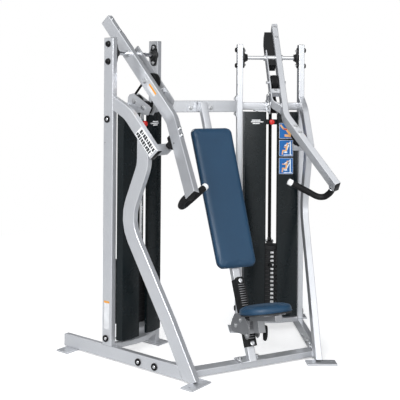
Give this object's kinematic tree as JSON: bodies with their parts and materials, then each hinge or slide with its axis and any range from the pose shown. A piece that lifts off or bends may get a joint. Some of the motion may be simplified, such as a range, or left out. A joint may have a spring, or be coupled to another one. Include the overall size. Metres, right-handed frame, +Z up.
{
  "type": "chest press machine",
  "caption": "Seated iso-lateral chest press machine: two splayed weight towers, swinging press arms, inclined back pad and a sliding seat.",
  "frame": {"origin": "on the floor, at the middle of the machine's width and depth", "axes": "+Z up, -Y to the front where the user's feet are, +X across to the right-hand tower seen from the front"},
  "size_m": [1.8612, 1.1288, 2.0805],
  "materials": {
    "frame_paint": "satin metallic silver powder coat",
    "arm_paint": "satin metallic silver powder coat",
    "bright_steel": "polished shaft and guide rods",
    "black_iron": "black painted cast iron with a fine cast texture",
    "plate_steel": "black painted weight plates, slightly rubbed edges",
    "shroud_sheet": "satin black powder coated sheet",
    "black_paint": "gloss black paint",
    "black_nylon": "moulded black nylon",
    "rubber": "matt black rubber",
    "belt_fabric": "ribbed black drive belt",
    "red_knob": "glossy moulded red",
    "seat_metal": "satin grey paint",
    "pad_vinyl": "dark blue upholstery vinyl with a fine grain"
  },
  "bodies": {
    "root": {"left_outer_upright": "frame_paint", "left_inner_upright": "frame_paint", "left_base_rail": "frame_paint", "left_front_leg": "frame_paint", "left_upper_brace": "frame_paint", "left_tower_base": "frame_paint", "left_tower_head": "frame_paint", "left_outer_bearing": "black_iron", "left_inner_bearing": "black_iron", "left_outer_shroud": "shroud_sheet", "left_inner_shroud": "shroud_sheet", "left_guide_rods": "bright_steel", "left_resting_plates": "plate_steel", "left_belt": "belt_fabric", "right_outer_upright": "frame_paint", "right_inner_upright": "frame_paint", "right_base_rail": "frame_paint", "right_front_leg": "frame_paint", "right_upper_brace": "frame_paint", "right_tower_base": "frame_paint", "right_tower_head": "frame_paint", "right_outer_bearing": "black_iron", "right_inner_bearing": "black_iron", "right_outer_shroud": "shroud_sheet", "right_inner_shroud": "shroud_sheet", "right_guide_rods": "bright_steel", "right_resting_plates": "plate_steel", "right_belt": "belt_fabric", "rear_beam": "frame_paint", "front_crossbar": "frame_paint", "seat_column": "frame_paint", "seat_rack": "black_nylon", "back_pad": "pad_vinyl"},
    "left_press_arm": {"left_pivot_shaft": "bright_steel", "left_arm_tube": "arm_paint", "left_arm_strap": "arm_paint", "left_counterweight": "black_paint", "left_handle_bar": "black_paint", "left_handle_grip": "rubber", "left_arm_bumper": "rubber"},
    "left_arm_sheave": {"left_arm_pulley": "black_nylon"},
    "left_tower_sheave": {"left_tower_pulley": "black_nylon"},
    "left_stack": {"left_lifted_plates": "plate_steel"},
    "left_pin": {"left_selector_pin": "black_nylon"},
    "left_knob": {"left_add_weight_knob": "red_knob"},
    "right_press_arm": {"right_pivot_shaft": "bright_steel", "right_arm_tube": "arm_paint", "right_arm_strap": "arm_paint", "right_counterweight": "black_paint", "right_handle_bar": "black_paint", "right_handle_grip": "rubber", "right_arm_bumper": "rubber"},
    "right_arm_sheave": {"right_arm_pulley": "black_nylon"},
    "right_tower_sheave": {"right_tower_pulley": "black_nylon"},
    "right_stack": {"right_lifted_plates": "plate_steel"},
    "right_pin": {"right_selector_pin": "black_nylon"},
    "right_knob": {"right_add_weight_knob": "red_knob"},
    "seat": {"seat_carriage": "seat_metal", "seat_pad": "pad_vinyl"},
    "lever": {"seat_lever": "black_nylon"}
  },
  "joints": [
    {"name": "left_arm_swing", "type": "hinge", "parent": "root", "child": "left_press_arm", "pos_m": [-0.4998, 0.30436, 1.8386], "axis": [-0.9063, -0.4226, 0], "range_deg": [0, 35]},
    {"name": "left_arm_sheave_spin", "type": "hinge", "parent": "left_press_arm", "child": "left_arm_sheave", "pos_m": [-0.44057, 0.17023, 1.67056], "axis": [-0.9063, -0.4226, 0], "range_deg": [-200, 0]},
    {"name": "left_tower_sheave_spin", "type": "hinge", "parent": "root", "child": "left_tower_sheave", "pos_m": [-0.49259, 0.28179, 1.546], "axis": [-0.9063, -0.4226, 0], "range_deg": [-400, 0]},
    {"name": "left_stack_lift", "type": "slide", "parent": "root", "child": "left_stack", "axis": [0, 0, 1], "range_m": [0, 0.275], "deforming": ["left_belt"]},
    {"name": "left_pin_pull", "type": "slide", "parent": "left_stack", "child": "left_pin", "axis": [0.4226, -0.9063, 0], "range_m": [0, 0.07]},
    {"name": "left_knob_pull", "type": "slide", "parent": "root", "child": "left_knob", "axis": [0.4226, -0.9063, 0], "range_m": [0, 0.02]},
    {"name": "right_arm_swing", "type": "hinge", "parent": "root", "child": "right_press_arm", "pos_m": [0.4998, 0.30436, 1.8386], "axis": [-0.9063, 0.4226, 0], "range_deg": [0, 35]},
    {"name": "right_arm_sheave_spin", "type": "hinge", "parent": "right_press_arm", "child": "right_arm_sheave", "pos_m": [0.44057, 0.17023, 1.67056], "axis": [-0.9063, 0.4226, 0], "range_deg": [-200, 0]},
    {"name": "right_tower_sheave_spin", "type": "hinge", "parent": "root", "child": "right_tower_sheave", "pos_m": [0.49259, 0.28179, 1.546], "axis": [-0.9063, 0.4226, 0], "range_deg": [-400, 0]},
    {"name": "right_stack_lift", "type": "slide", "parent": "root", "child": "right_stack", "axis": [0, 0, 1], "range_m": [0, 0.275], "deforming": ["right_belt"]},
    {"name": "right_pin_pull", "type": "slide", "parent": "right_stack", "child": "right_pin", "axis": [-0.4226, -0.9063, 0], "range_m": [0, 0.07]},
    {"name": "right_knob_pull", "type": "slide", "parent": "root", "child": "right_knob", "axis": [-0.4226, -0.9063, 0], "range_m": [0, 0.02]},
    {"name": "seat_height", "type": "slide", "parent": "root", "child": "seat", "axis": [0, 0.3883, 0.9216], "range_m": [-0.027, 0.162]},
    {"name": "seat_lever_lift", "type": "hinge", "parent": "seat", "child": "lever", "pos_m": [0.045, -0.24542, 0.238], "axis": [-1, 0, 0], "range_deg": [0, 15]}
  ],
  "couplings": [
    {"joint": "left_stack_lift", "follows": "left_arm_swing", "m_per_rad": 0.442},
    {"joint": "left_arm_sheave_spin", "follows": "left_arm_swing", "ratio": -5.6},
    {"joint": "left_tower_sheave_spin", "follows": "left_arm_swing", "ratio": -11.3},
    {"joint": "right_stack_lift", "follows": "right_arm_swing", "m_per_rad": 0.442},
    {"joint": "right_arm_sheave_spin", "follows": "right_arm_swing", "ratio": -5.6},
    {"joint": "right_tower_sheave_spin", "follows": "right_arm_swing", "ratio": -11.3}
  ]
}
